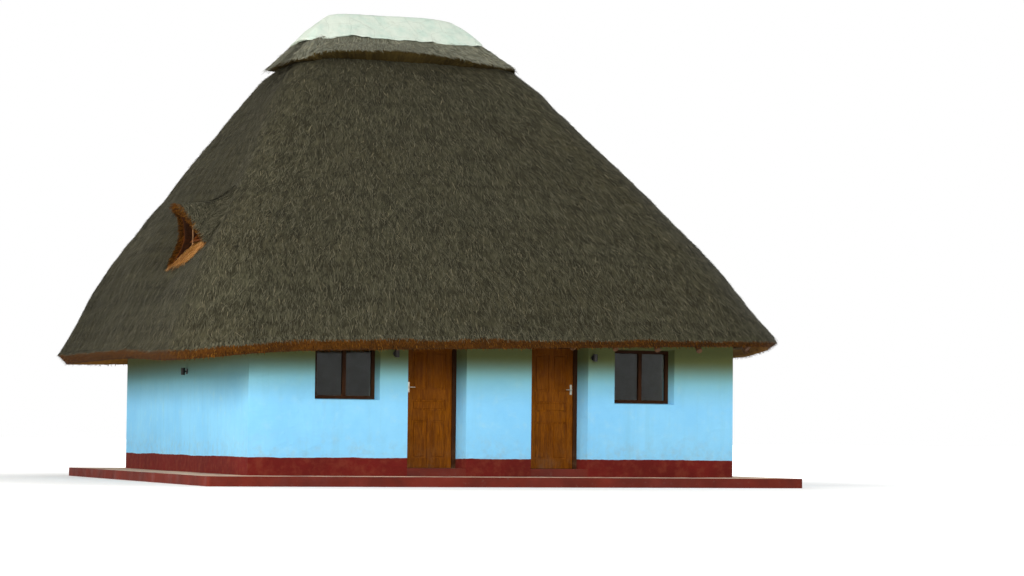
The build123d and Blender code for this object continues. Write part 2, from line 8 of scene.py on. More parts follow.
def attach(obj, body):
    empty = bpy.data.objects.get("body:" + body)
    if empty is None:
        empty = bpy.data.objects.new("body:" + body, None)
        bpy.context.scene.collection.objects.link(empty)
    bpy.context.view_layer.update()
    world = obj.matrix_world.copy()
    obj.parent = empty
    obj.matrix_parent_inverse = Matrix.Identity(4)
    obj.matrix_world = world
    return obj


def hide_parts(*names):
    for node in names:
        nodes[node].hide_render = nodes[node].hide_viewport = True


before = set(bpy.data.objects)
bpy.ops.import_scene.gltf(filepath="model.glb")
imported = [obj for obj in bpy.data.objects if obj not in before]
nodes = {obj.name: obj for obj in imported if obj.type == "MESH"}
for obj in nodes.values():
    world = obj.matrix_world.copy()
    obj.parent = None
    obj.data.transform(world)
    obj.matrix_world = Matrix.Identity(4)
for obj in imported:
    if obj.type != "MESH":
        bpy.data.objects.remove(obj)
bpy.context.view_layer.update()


# Plinth slab, room floor and door thresholds. They are cast concrete, floated smooth and
# painted with red floor paint that is rubbed to grey-brown in patches. They are paler on top,
# with dust, and on the slab's top the pale colour is mostly painted sunlight.
def start_material(name):
    """A new node material with its tree and its Principled shader."""
    material = bpy.data.materials.new(name)
    material.use_nodes = True
    return material, material.node_tree, material.node_tree.nodes["Principled BSDF"]


def put(tree, kind, inputs=None, **settings):
    """Add a node; its inputs take numbers, colours or other nodes' sockets."""
    node = tree.nodes.new(kind)
    for key, value in settings.items():
        setattr(node, key, value)
    for key, value in (inputs or {}).items():
        if isinstance(value, bpy.types.NodeSocket):
            tree.links.new(value, node.inputs[key])
        else:
            node.inputs[key].default_value = value
    return node


def start_group(name, inputs, outputs):
    """A shader node group with named sockets, given as (name, kind, default)."""
    tree = bpy.data.node_groups.new(name, "ShaderNodeTree")
    for label, kind, default in inputs:
        socket = tree.interface.new_socket(label, in_out="INPUT", socket_type="NodeSocket" + kind)
        if default is not None:
            socket.default_value = default
    for label, kind in outputs:
        tree.interface.new_socket(label, in_out="OUTPUT", socket_type="NodeSocket" + kind)
    return tree, tree.nodes.new("NodeGroupInput").outputs, tree.nodes.new("NodeGroupOutput").inputs


def use_group(tree, group, inputs):
    """Place a shader node group in a material."""
    return put(tree, "ShaderNodeGroup", inputs, node_tree=group).outputs


def ramp(tree, factor, stops):
    """Colour ramp with stops given as (place, colour)."""
    node = put(tree, "ShaderNodeValToRGB", {0: factor})
    band = node.color_ramp
    band.elements[0].position, band.elements[0].color = stops[0]
    band.elements[1].position, band.elements[1].color = stops[-1]
    for place, colour in stops[1:-1]:
        band.elements.new(place).color = colour
    return node.outputs["Color"]


def mix(tree, factor, first, second, blend="MIX"):
    """Mix two colours."""
    return put(tree, "ShaderNodeMix", {0: factor, 6: first, 7: second},
               data_type="RGBA", blend_type=blend).outputs[2]


def sums(tree, operation, first, second=0.0):
    """One step of arithmetic."""
    return put(tree, "ShaderNodeMath", {0: first, 1: second}, operation=operation).outputs[0]


def wear(tree, colour, mask, share, second):
    """Lay a second colour over the first where a mask is bright, up to a share."""
    return mix(tree, sums(tree, "MULTIPLY", mask, share), colour, second)


def fade(tree, value, start, end, first=0.0, last=1.0, curve="LINEAR"):
    """Value that runs from first to last while another runs from start to end."""
    return put(tree, "ShaderNodeMapRange", {"Value": value, "From Min": start, "From Max": end,
                                            "To Min": first, "To Max": last},
               interpolation_type=curve).outputs[0]


def soft_fade(tree, value, start, end, first=0.0, last=1.0):
    """The same with an easy start and end."""
    return fade(tree, value, start, end, first, last, "SMOOTHSTEP")


def speckle(tree, place, fineness, detail, roughness=0.5, distortion=0.0):
    """Noise over the surface."""
    return put(tree, "ShaderNodeTexNoise", {"Vector": place, "Scale": fineness, "Detail": detail,
                                            "Roughness": roughness, "Distortion": distortion}).outputs[0]


def stretched(tree, place, scale):
    """Texture place scaled along its axes."""
    return put(tree, "ShaderNodeMapping", {"Vector": place, "Scale": scale}).outputs[0]


def own_place(tree):
    """Place on the piece in metres."""
    return put(tree, "ShaderNodeTexCoord").outputs["Object"]


def emboss(tree, shader, height, strength, depth):
    """Fine relief of a material."""
    bump = put(tree, "ShaderNodeBump", {"Height": height, "Strength": strength, "Distance": depth})
    tree.links.new(bump.outputs[0], shader.inputs["Normal"])


def paint(r, g, b):
    """Colour given as it looks on screen, from 0 to 255, for a shader."""
    def linear(value):
        value /= 255
        return value / 12.92 if value <= 0.04045 else ((value + 0.055) / 1.055) ** 2.4
    return (linear(r), linear(g), linear(b), 1)


def seat(node_name, material):
    """Give every material slot of a CAD node one finish."""
    mesh = nodes[node_name].data
    mesh.materials.clear()
    mesh.materials.append(material)


# Soft patches of wear or damp: large clouds broken up by small ones
patch_tree, inlet, outlet = start_group(
    "patches",
    [("Vector", "Vector", None), ("Size", "Float", 1.0), ("Low", "Float", 0.4), ("High", "Float", 0.6)],
    [("Mask", "Float")])
broad = speckle(patch_tree, inlet["Vector"], inlet["Size"], 7.0, 0.62)
mask = soft_fade(patch_tree, broad, inlet["Low"], inlet["High"])
patch_tree.links.new(mask, outlet["Mask"])


def patches(tree, place, fineness, low, high):
    """Mask that is dark under low and bright over high."""
    inputs = {"Vector": place, "Size": fineness, "Low": low, "High": high}
    return use_group(tree, patch_tree, inputs)["Mask"]


def painted_cement(name, red_paint, dark_paint, dust_and_sunlight, dust_and_sunlight_share):
    """Red floor paint on floated cement, rubbed bare in patches, with a pale top of dust and painted
    sunlight.
    """
    material, tree, shader = start_material(name)
    shader.inputs["Specular IOR Level"].default_value = 0.25
    place = own_place(tree)
    facing = put(tree, "ShaderNodeSeparateXYZ",
                 {0: put(tree, "ShaderNodeNewGeometry").outputs["Normal"]}).outputs["Z"]
    top = sums(tree, "GREATER_THAN", facing, 0.7)
    uneven = patches(tree, place, 1.7, 0.3, 0.7)
    rubbed = patches(tree, place, 9.0, 0.58, 0.72)
    dusty = patches(tree, place, 2.1, 0.22, 0.6)
    colour = mix(tree, uneven, red_paint, dark_paint)
    colour = wear(tree, colour, rubbed, 0.3, paint(112, 84, 74))
    # Upward faces get a paler colour: dust, and on the slab mostly painted sunlight
    colour = wear(tree, colour, sums(tree, "MULTIPLY", dusty, top), dust_and_sunlight_share, dust_and_sunlight)
    tree.links.new(colour, shader.inputs["Base Color"])
    tree.links.new(fade(tree, dusty, 0.0, 1.0, 0.55, 0.9), shader.inputs["Roughness"])
    grit = speckle(tree, place, 60.0, 5.0)
    float_marks = speckle(tree, place, 5.0, 3.0)
    height = sums(tree, "ADD", sums(tree, "MULTIPLY", grit, 0.25), float_marks)
    emboss(tree, shader, height, 0.35, 0.012)
    return material


# The slab's very pale top colour stands for sunlight on it as well as dust
red_cement = painted_cement("red_cement", paint(112, 36, 22), paint(88, 29, 18), paint(226, 196, 168), 0.95)
red_floor = painted_cement("red_floor", paint(108, 38, 26), paint(84, 30, 22), paint(132, 84, 62), 0.6)
seat("plinth_slab", red_cement)
for name in ("room_floor", "threshold_left", "threshold_right"):
    seat(name, red_floor)


# Walls and lintels. They are masonry with a thick coat of lime and cement plaster, trowelled
# by hand and limewashed sky blue, with a red painted dado whose top edge was drawn freehand.
# Rain has splashed earth on the foot. Up under the eave the wash is painted with the eave's shade, greenish
# lower down and dark olive right under the thatch.
dado_top = 0.452
wall_face = 0.43
outer_x, outer_y = 4.3, 4.2

plaster, tree, shader = start_material("blue_plaster")
place = own_place(tree)
axes = put(tree, "ShaderNodeSeparateXYZ", {0: place}).outputs
drift = speckle(tree, place, 1.1, 2.0)
shake = speckle(tree, place, 14.0, 3.0)
edge = sums(tree, "ADD", sums(tree, "MULTIPLY", sums(tree, "SUBTRACT", drift, 0.5), 0.05),
            sums(tree, "MULTIPLY", sums(tree, "SUBTRACT", shake, 0.5), 0.016))
above = sums(tree, "SUBTRACT", sums(tree, "ADD", axes["Z"], edge), dado_top)
blue_part = fade(tree, above, -0.003, 0.004)
across = sums(tree, "MAXIMUM",
              sums(tree, "SUBTRACT", sums(tree, "ABSOLUTE", axes["X"]), outer_x - 0.01),
              sums(tree, "SUBTRACT", sums(tree, "ABSOLUTE", axes["Y"]), outer_y - wall_face))
outside = sums(tree, "GREATER_THAN", across, 0.0)
clouds = patches(tree, place, 0.9, 0.3, 0.7)
thin = patches(tree, place, 4.5, 0.5, 0.8)
streak_place = stretched(tree, place, (7.0, 7.0, 0.6))
streaks = patches(tree, streak_place, 1.0, 0.45, 0.8)
wash = mix(tree, clouds, paint(143, 213, 250), paint(132, 204, 246))
wash = wear(tree, wash, thin, 0.3, paint(182, 222, 232))
wash = wear(tree, wash, streaks, 0.25, paint(128, 184, 206))
# Painted shade under the eave: greenish towards the top, then dark olive just below the thatch
painted_eave_shade = soft_fade(tree, axes["Z"], 1.25, 2.08)
wash = wear(tree, wash, painted_eave_shade, 0.75, paint(114, 162, 134))
painted_eave_shadow = soft_fade(tree, axes["Z"], 1.68, 2.16)
wash = wear(tree, wash, painted_eave_shadow, 0.9, paint(86, 82, 0))
foot = fade(tree, axes["Z"], 0.95, 0.4)
splash = patches(tree, place, 7.0, 0.42, 0.72)
wash = wear(tree, wash, sums(tree, "MULTIPLY", splash, foot), 0.35, paint(150, 160, 160))
dado = mix(tree, clouds, paint(108, 24, 18), paint(90, 20, 14))
dado = wear(tree, dado, splash, 0.35, paint(132, 66, 44))
skin = mix(tree, blue_part, dado, wash)
inside = mix(tree, clouds, paint(212, 214, 204), paint(196, 198, 186))
skin = mix(tree, outside, inside, skin)
tree.links.new(skin, shader.inputs["Base Color"])
shader.inputs["Roughness"].default_value = 0.88
shader.inputs["Specular IOR Level"].default_value = 0.2
trowel_place = stretched(tree, place, (1.0, 1.0, 1.7))
trowel = speckle(tree, trowel_place, 3.2, 3.0, 0.5, 0.8)
sand = speckle(tree, place, 90.0, 4.0)
hollows = speckle(tree, place, 12.0, 2.0)
relief = sums(tree, "ADD", trowel,
              sums(tree, "ADD", sums(tree, "MULTIPLY", sand, 0.08),
                   sums(tree, "MULTIPLY", hollows, 0.3)))
emboss(tree, shader, relief, 0.6, 0.02)
for name in ("front_wall_left", "front_wall_middle", "front_wall_right", "front_lintel_left",
             "front_lintel_right", "left_wall", "right_wall", "back_wall"):
    seat(name, plaster)


# Roof timbers. Wall plates and laths are rough sawn softwood; rafters, ridge and hips are
# peeled gum poles, nailed and wired where they cross, and all of it has gone brown with age.
grain_tree, inlet, outlet = start_group(
    "wood_grain",
    [("Vector", "Vector", None), ("Stretch", "Vector", (1, 1, 1)), ("Light", "Color", (1, 1, 1, 1)),
     ("Dark", "Color", (0, 0, 0, 1))],
    [("Color", "Color"), ("Height", "Float")])
along = put(grain_tree, "ShaderNodeVectorMath", {0: inlet["Vector"], 1: inlet["Stretch"]},
            operation="MULTIPLY").outputs[0]
fibres = speckle(grain_tree, along, 7.0, 8.0, 0.7, 0.4)
figure = speckle(grain_tree, along, 1.6, 4.0, 0.5, 1.5)
grained = put(grain_tree, "ShaderNodeMix", {0: 0.45, 2: fibres, 3: figure}).outputs[0]
tone = soft_fade(grain_tree, grained, 0.3, 0.7)
grain_tree.links.new(mix(grain_tree, tone, inlet["Dark"], inlet["Light"]), outlet["Color"])
grain_tree.links.new(grained, outlet["Height"])


def timber(name, stretch, light, dark, roughness, depth):
    """Wood with its grain along the direction that stretch leaves short."""
    material, tree, shader = start_material(name)
    place = own_place(tree)
    wood = use_group(tree, grain_tree, {"Vector": place, "Stretch": stretch, "Light": light, "Dark": dark})
    tree.links.new(wood["Color"], shader.inputs["Base Color"])
    shader.inputs["Roughness"].default_value = roughness
    emboss(tree, shader, wood["Height"], 0.5, depth)
    return material


pole_light, pole_dark = paint(112, 72, 32), paint(62, 38, 16)
for side, stretch in (("front", (9, 2, 2)), ("back", (9, 2, 2)), ("left", (2, 9, 2)), ("right", (2, 9, 2))):
    seat(f"rafters_{side}", timber(f"pole_timber_{side}", stretch, pole_light, pole_dark, 0.8, 0.004))
seat("ridge_and_hip_poles", timber("pole_timber", (4, 4, 2), pole_light, pole_dark, 0.8, 0.004))
seat("battens", timber("sawn_laths", (3, 3, 9), paint(150, 110, 66), paint(92, 62, 34), 0.85, 0.002))
for side, stretch in (("front", (2, 9, 9)), ("back", (2, 9, 9)), ("left", (9, 2, 9)), ("right", (9, 2, 9))):
    seat(f"wall_plate_{side}", timber(f"sawn_plate_{side}", stretch, paint(140, 104, 64),
                                      paint(84, 58, 34), 0.85, 0.002))


# Door frames and panelled leaves. They are meranti joinery with a worn orange-brown oil stain,
# with painted shade darkening it up under the eave. The frames have a darker coat.
def stained_wood(name, stretch, light, dark, shade, roughness):
    """Oiled joinery: grain, painted shade on the upper part and a dull dusty foot."""
    material, tree, shader = start_material(name)
    place = own_place(tree)
    wood = use_group(tree, grain_tree, {"Vector": place, "Stretch": stretch, "Light": light, "Dark": dark})
    level = put(tree, "ShaderNodeSeparateXYZ", {0: place}).outputs["Z"]
    upper = soft_fade(tree, level, 1.2, 2.3)
    foot = fade(tree, level, 0.75, 0.3)
    smear = patches(tree, place, 6.0, 0.4, 0.7)
    # Painted shade: the upper part turns darker under the eave
    colour = wear(tree, wood["Color"], upper, 0.6, shade)
    colour = wear(tree, colour, sums(tree, "MULTIPLY", smear, foot), 0.35, paint(146, 112, 84))
    tree.links.new(colour, shader.inputs["Base Color"])
    tree.links.new(fade(tree, smear, 0.0, 1.0, roughness, roughness + 0.25), shader.inputs["Roughness"])
    shader.inputs["Specular IOR Level"].default_value = 0.1
    emboss(tree, shader, wood["Height"], 0.35, 0.0015)
    return material


door_wood = stained_wood("door_wood", (12, 12, 1.1), paint(150, 84, 2), paint(88, 42, 0),
                         paint(74, 34, 0), 0.6)
frame_wood = stained_wood("frame_wood", (12, 12, 1.4), paint(66, 34, 8), paint(42, 20, 4),
                          paint(34, 16, 3), 0.55)
for side in ("left", "right"):
    seat(f"door_leaf_{side}", door_wood)
    seat(f"door_frame_{side}", frame_wood)


# Door handles. They are levers of a pale cast alloy, on long back plates that are screwed to
# the leaves. The lacquer has dulled.
handle_metal, tree, shader = start_material("handle_metal")
place = own_place(tree)
dull = patches(tree, place, 30.0, 0.4, 0.7)
tree.links.new(mix(tree, dull, paint(214, 208, 190), paint(168, 158, 136)), shader.inputs["Base Color"])
tree.links.new(fade(tree, dull, 0.0, 1.0, 0.28, 0.5), shader.inputs["Roughness"])
shader.inputs["Metallic"].default_value = 0.9
for side in ("left", "right"):
    seat(f"door_handle_{side}", handle_metal)


# Windows. Each is a dark stained hardwood frame with two fixed lights of plain float glass,
# set back in the splayed opening; the panes are a little dusty.
for side in ("left", "right"):
    seat(f"window_frame_{side}", frame_wood)

pane, tree, shader = start_material("pane")
place = own_place(tree)
film = patches(tree, place, 5.0, 0.35, 0.75)
tree.links.new(mix(tree, film, (0.82, 0.88, 0.86, 1), (0.74, 0.78, 0.72, 1)), shader.inputs["Base Color"])
tree.links.new(fade(tree, film, 0.0, 1.0, 0.02, 0.12), shader.inputs["Roughness"])
shader.inputs["Transmission Weight"].default_value = 1.0
shader.inputs["IOR"].default_value = 1.32
for side in ("left", "right"):
    seat(f"window_glass_{side}", pane)


# Thatch coat. It is grass laid in courses over the laths, sewn down, raked and cut off square
# at the eave. Sun and rain have turned it dark grey; the cut ends stay orange-brown. The
# slopes belly a little and the hips are soft.
eave_height, ridge_height = 2.39, 8.16
eave_left, eave_right, eave_front, eave_back = -5.6, 5.16, -5.0, 5.25
ridge_left, ridge_right, ridge_y = -1.76, 0.90, 0.125
eave_radius, head_radius, coat_top = 1.1, 0.184, 7.93
thatch_thickness, eave_cut = 0.2, 0.125
roof_rise = ridge_height - eave_height
pitch = {"front": atan(roof_rise / (ridge_y - eave_front)),
         "back": atan(roof_rise / (eave_back - ridge_y)),
         "left": atan(roof_rise / (ridge_left - eave_left)),
         "right": atan(roof_rise / (eave_right - ridge_right))}


def roof_ring(height, depth, radius, cells=(210, 16, 200, 16)):
    """Points round the roof at one height and depth, with their outward normals."""
    climb = height - eave_height
    inset = {side: climb / tan(lean) + depth / sin(lean) for side, lean in pitch.items()}
    x0, x1 = eave_left + inset["left"], eave_right - inset["right"]
    y0, y1 = eave_front + inset["front"], eave_back - inset["back"]
    radius = min(radius, (x1 - x0) / 2 - 1e-4, (y1 - y0) / 2 - 1e-4)
    corners = [(x1 - radius, y0 + radius, -90), (x1 - radius, y1 - radius, 0),
               (x0 + radius, y1 - radius, 90), (x0 + radius, y0 + radius, 180)]
    places, outward = [], []
    previous = (x0 + radius, y0)
    for step, (cx, cy, start) in enumerate(corners):
        first = (cx + radius * cos(radians(start)), cy + radius * sin(radians(start)))
        count = cells[0] if step % 2 == 0 else cells[2]
        for index in range(count):
            share = index / count
            places.append((previous[0] + (first[0] - previous[0]) * share,
                           previous[1] + (first[1] - previous[1]) * share, height))
            outward.append((cos(radians(start)), sin(radians(start))))
        for index in range(cells[1]):
            angle = radians(start + 90 * index / cells[1])
            places.append((cx + radius * cos(angle), cy + radius * sin(angle), height))
            outward.append((cos(angle), sin(angle)))
        previous = (cx + radius * cos(radians(start + 90)), cy + radius * sin(radians(start + 90)))
    return np.array(places), np.array(outward)


def lumps(points, scale, seed):
    """Smooth noise at each point, about -1 to 1."""
    sx, sy, sz = (scale, scale, scale) if isinstance(scale, (int, float)) else scale
    return np.array([noise.noise(Vector((x * sx + seed, y * sy, z * sz))) for x, y, z in points])


def add_object(name, data):
    """Put a mesh, a lamp or a camera in the scene."""
    piece = bpy.data.objects.new(name, data)
    bpy.context.scene.collection.objects.link(piece)
    return piece


def ring_walk(ring):
    """Metres walked round a ring, up to each point and back to the first."""
    gaps = np.linalg.norm(np.roll(ring, -1, axis=0) - ring, axis=1)
    return np.concatenate([[0], np.cumsum(gaps)])


def skin_mesh(name, rows, lengths, materials, row_material, close=True, hole=None):
    """Rings or open rows of points joined into a skin, with a UV map of metres round and down."""
    count = len(rows[0])
    points = np.concatenate(rows)
    faces, uvs, slots = [], [], []
    base = ring_walk(rows[0])
    for r in range(len(rows) - 1):
        for c in range(count if close else count - 1):
            d = (c + 1) % count
            if hole is not None and hole((rows[r][c] + rows[r + 1][d]) / 2):
                continue
            faces.append((r * count + c, r * count + d, (r + 1) * count + d, (r + 1) * count + c))
            uvs.extend([(base[c], lengths[r]), (base[c + 1], lengths[r]),
                        (base[c + 1], lengths[r + 1]), (base[c], lengths[r + 1])])
            slots.append(row_material[r])
    mesh = bpy.data.meshes.new(name)
    mesh.from_pydata(points.tolist(), [], faces)
    layer = mesh.uv_layers.new(name="reed")
    layer.data.foreach_set("uv", np.array(uvs, dtype=np.float32).ravel())
    for material in materials:
        mesh.materials.append(material)
    mesh.polygons.foreach_set("material_index", np.array(slots, dtype=np.int32))
    mesh.polygons.foreach_set("use_smooth", np.ones(len(faces), dtype=bool))
    mesh.update()
    return add_object(name, mesh)


# Grass that lies down the slope: streaks of grey and brown straw with pale and black bits
reed_tree, inlet, outlet = start_group(
    "laid_grass",
    [("Vector", "Vector", None), ("Fresh", "Color", (1, 1, 1, 1)), ("Grey", "Color", (1, 1, 1, 1)),
     ("Dark", "Color", (0, 0, 0, 1))],
    [("Color", "Color"), ("Height", "Float")])
fine_place = stretched(reed_tree, inlet["Vector"], (26.0, 5.0, 1.0))
fine = speckle(reed_tree, fine_place, 1.0, 6.0, 0.72, 0.5)
tuft_place = stretched(reed_tree, inlet["Vector"], (7.0, 2.4, 1.0))
tufts = speckle(reed_tree, tuft_place, 1.0, 3.0, 0.5, 0.4)
bed_place = stretched(reed_tree, inlet["Vector"], (0.5, 0.9, 1.0))
beds = speckle(reed_tree, bed_place, 1.0, 4.0)
row_place = stretched(reed_tree, inlet["Vector"], (0.9, 6.5, 1.0))
laid_rows = speckle(reed_tree, row_place, 1.0, 4.0)
straw = ramp(reed_tree, fine, [(0.3, (0, 0, 0, 1)), (0.72, (1, 1, 1, 1))])
body_colour = mix(reed_tree, straw, inlet["Dark"], inlet["Grey"])
aged = fade(reed_tree, beds, 0.35, 0.7)
body_colour = wear(reed_tree, body_colour, aged, 0.35, inlet["Fresh"])
dark_tuft = fade(reed_tree, tufts, 0.52, 0.36)
body_colour = wear(reed_tree, body_colour, dark_tuft, 0.5, inlet["Dark"])
row_dark = fade(reed_tree, laid_rows, 0.5, 0.3)
body_colour = wear(reed_tree, body_colour, row_dark, 0.55, inlet["Dark"])
reed_tree.links.new(body_colour, outlet["Color"])
heap = sums(reed_tree, "ADD", sums(reed_tree, "MULTIPLY", fine, 0.45), tufts)
reed_tree.links.new(heap, outlet["Height"])


def thatch_finish(name, fresh, grey, dark, depth):
    """Thatch surface from the UV map: metres round and metres down the slope."""
    material, tree, shader = start_material(name)
    place = put(tree, "ShaderNodeUVMap", uv_map="reed").outputs[0]
    grass = use_group(tree, reed_tree, {"Vector": place, "Fresh": fresh, "Grey": grey, "Dark": dark})
    tree.links.new(grass["Color"], shader.inputs["Base Color"])
    shader.inputs["Roughness"].default_value = 0.92
    shader.inputs["Specular IOR Level"].default_value = 0.2
    emboss(tree, shader, grass["Height"], 0.9, depth)
    return material


grey_thatch = thatch_finish("thatch", paint(70, 62, 40), paint(84, 82, 62), paint(34, 31, 19), 0.03)
cut_straw = thatch_finish("cut_straw", paint(126, 74, 6), paint(104, 60, 4), paint(48, 27, 1), 0.02)
under_straw = thatch_finish("under_straw", paint(196, 138, 54), paint(170, 116, 44),
                            paint(92, 58, 18), 0.02)


def straw_blades(name, starts, along, up, size, width, spread, lift, seed, material):
    """Thousands of loose grass blades, each a narrow tapered strip that lies on the roof."""
    rng = np.random.default_rng(seed)
    n = len(starts)
    along = along / np.linalg.norm(along, axis=1)[:, None]
    across = np.cross(up, along)
    turn = rng.normal(0, spread, n)[:, None]
    heading = along * np.cos(turn) + across * np.sin(turn)
    length = (size * rng.uniform(0.5, 1.5, n))[:, None]
    half = (width * rng.uniform(0.5, 1.4, n) / 2)[:, None]
    rise = (lift * rng.uniform(-0.1, 1.0, n))[:, None]
    side = np.cross(up, heading) * half
    tips = starts + heading * length + up * rise
    tip_side = side * 0.35
    points = np.stack([starts - side, starts + side, tips + tip_side, tips - tip_side], axis=1)
    order = np.arange(4 * n).reshape(-1, 4)
    mesh = bpy.data.meshes.new(name)
    mesh.from_pydata(points.reshape(-1, 3).tolist(), [], order.tolist())
    tint = rng.uniform(0, 1, n)
    uv = np.stack([np.repeat(tint, 4), np.tile([0, 0, 1, 1], n)], axis=1)
    mesh.uv_layers.new(name="reed").data.foreach_set("uv", uv.astype(np.float32).ravel())
    mesh.materials.append(material)
    mesh.update()
    return add_object(name, mesh)


def blade_finish(name, stops):
    """Each blade has one tone, picked by where it lies in the UV map, darker at its root."""
    material, tree, shader = start_material(name)
    reed = put(tree, "ShaderNodeUVMap", uv_map="reed").outputs[0]
    place = put(tree, "ShaderNodeSeparateXYZ", {0: reed}).outputs
    tone = ramp(tree, place["X"], stops)
    root = fade(tree, place["Y"], 0.0, 1.0, 0.7, 1.0)
    shade = put(tree, "ShaderNodeCombineXYZ", {0: root, 1: root, 2: root}).outputs[0]
    tree.links.new(mix(tree, 1.0, tone, shade, "MULTIPLY"), shader.inputs["Base Color"])
    shader.inputs["Roughness"].default_value = 0.9
    shader.inputs["Specular IOR Level"].default_value = 0.2
    return material


grey_blades = blade_finish("grey_blades", [(0.0, paint(24, 22, 12)), (0.3, paint(52, 50, 34)),
                                           (0.62, paint(82, 79, 60)), (0.95, paint(112, 108, 88)),
                                           (1.0, paint(140, 130, 102))])
straw_tips = blade_finish("straw_tips", [(0.0, paint(42, 24, 2)), (0.4, paint(84, 48, 4)),
                                         (0.8, paint(112, 68, 10)), (1.0, paint(156, 104, 30))])

# The outer face of the coat, from the ridge down to the eave. It is fuller than the straight
# slope between eave and collar, and flatter again round the vent.
full_levels = (eave_height, 3.8, 7.1, 7.45, coat_top)
fullness = (0.0, 0.223, 0.25, 0.12, 0.0)
flat_y, flat_z = -1.8, 4.2
hip_radii = (eave_radius, 0.64, 0.28, 0.24, head_radius)
slope_rows = 93
outer_rows, outer_normals, heights = [], [], []
for row in range(slope_rows):
    share = row / (slope_rows - 1)
    level = coat_top + (eave_height - coat_top) * share
    ring, outward = roof_ring(level, 0.0, np.interp(level, full_levels, hip_radii))
    outer_rows.append(ring)
    outer_normals.append(outward)
    heights.append(level)
lean = radians(52)


def up_the_slope(outward):
    """Normals of a slope, from the level directions out of the roof."""
    return np.column_stack([outward * sin(lean), np.full(len(outward), cos(lean))])


sag_x, sag_y = -5.4, -3.9
sag_reach, corner_sag, right_sag, eave_climb = 1.6, 0.11, 0.15, 0.03


def eave_shift(points):
    """Rise of the eave over a level line: up to the right, down at one corner and the right side."""
    low = np.clip((eave_height + sag_reach - points[:, 2]) / sag_reach, 0, 1) ** 1.5
    corner = np.exp(-(points[:, 0] - sag_x) ** 2 / 1.2 - (points[:, 1] - sag_y) ** 2 / 5)
    droop = np.clip((points[:, 0] - 4.0) / 0.9, 0, 1) * np.clip((points[:, 1] + 4.6) / 1.4, 0, 1)
    return low * (eave_climb * points[:, 0] - corner_sag * corner - right_sag * droop)


def soft_interp(value, places, amounts):
    """Interpolation whose corners are rounded off."""
    return sum(np.interp(value + 0.25 * step, places, amounts) for step in (-1, 0, 1)) / 3


grid, normals = [], []
for ring, outward, level in zip(outer_rows, outer_normals, heights):
    normal = up_the_slope(outward)
    near_vent = np.exp(-((ring[:, 1] - flat_y) / 1.5) ** 2 - ((level - flat_z) / 1.3) ** 2)
    belly = soft_interp(level, full_levels, fullness) * (1 - near_vent * (outward[:, 0] < -0.9))
    bulge = (belly + 0.045 * lumps(ring, 0.45, 3.1) + 0.022 * lumps(ring, 1.5, 9.7)
             + 0.014 * lumps(ring, (5, 5, 2.2), 21.3) + 0.008 * lumps(ring, (14, 14, 5), 40.1))
    moved = ring + normal * bulge[:, None]
    moved[:, 2] += eave_shift(ring)
    grid.append(moved)
    normals.append(normal)
skirt_noise = (0.03 - 0.06 * np.clip((outer_rows[-1][:, 0] + 1) / 5, 0, 1)
               + 0.025 * lumps(outer_rows[-1], 1.3, 5.5) + 0.01 * lumps(outer_rows[-1], 9.0, 2.2))
grid[-1][:, 2] += skirt_noise


def inside_outline(y, z, corners):
    """Whether places on the left slope lie inside a three-sided outline."""
    turns = np.array([(b[0] - a[0]) * (z - a[1]) - (b[1] - a[1]) * (y - a[0])
                      for a, b in zip(corners, corners[1:] + corners[:1])])
    return np.all(turns > 0, axis=0) | np.all(turns < 0, axis=0)


# The vent's mouth and the air hole behind it, as they stand in the left slope: y and z
vent_front, vent_apex, vent_back = (-2.87, 4.00), (-1.90, 4.68), (-1.10, 3.65)
hole_outline = [(-2.20, 4.08), (-1.60, 4.08), (-1.86, 4.38)]
hole_y, hole_z = -1.89, 4.18
left_part = -3


def in_air_hole(place):
    """Whether a place on the coat lies in the vent's air hole."""
    return place[0] < left_part and bool(inside_outline(place[1], place[2], hole_outline))


# The cut band under the eave, and the coat's inner face over the laths
rows = list(grid)
lengths = [(coat_top - level) / sin(lean) for level in heights]
row_material = [0] * (slope_rows - 1)
cut_rows = 5
for row in range(1, cut_rows + 1):
    share = row / cut_rows
    ring = roof_ring(eave_height - eave_cut * share, thatch_thickness * share,
                     eave_radius - thatch_thickness * share)[0]
    ring[:, 2] += eave_shift(ring) + skirt_noise * (1 - share) + 0.008 * lumps(ring, 12.0, row * 3.3)
    rows.append(ring)
    lengths.append(lengths[-1] + 0.05)
    row_material.append(1)
inner_rows, inner_top = 14, 7.75
for row in range(1, inner_rows + 1):
    share = row / inner_rows
    level = eave_height - eave_cut + (inner_top - eave_height + eave_cut) * share
    hip_radius = (eave_radius - thatch_thickness) * (1 - share) + 0.01
    ring = roof_ring(level, thatch_thickness, hip_radius)[0]
    ring[:, 2] += eave_shift(ring) * (1 - share) ** 6
    rows.append(ring)
    lengths.append(lengths[-1] + 0.5)
    row_material.append(2)
coat = skin_mesh("thatch_coat", rows, lengths, [grey_thatch, cut_straw, under_straw], row_material,
                 hole=in_air_hole)
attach(coat, "root")
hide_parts("thatch_front", "thatch_back", "thatch_left", "thatch_right")


def random_columns(rng, ring, count):
    """Random places round a ring, as point numbers with a fraction."""
    walk = ring_walk(ring)
    return np.interp(rng.uniform(0, walk[-1], count), walk, np.arange(len(walk)))


def between_rings(stack, r, c):
    """Places between the points of some rings, with the way down and their cells."""
    r0, c0 = r.astype(int), c.astype(int) % stack.shape[1]
    rf, cf = (r - r0)[:, None], (c - c.astype(int))[:, None]
    c1 = (c0 + 1) % stack.shape[1]
    upper = stack[r0, c0] * (1 - cf) + stack[r0, c1] * cf
    lower = stack[r0 + 1, c0] * (1 - cf) + stack[r0 + 1, c1] * cf
    return upper * (1 - rf) + lower * rf, lower - upper, (r0, c0)


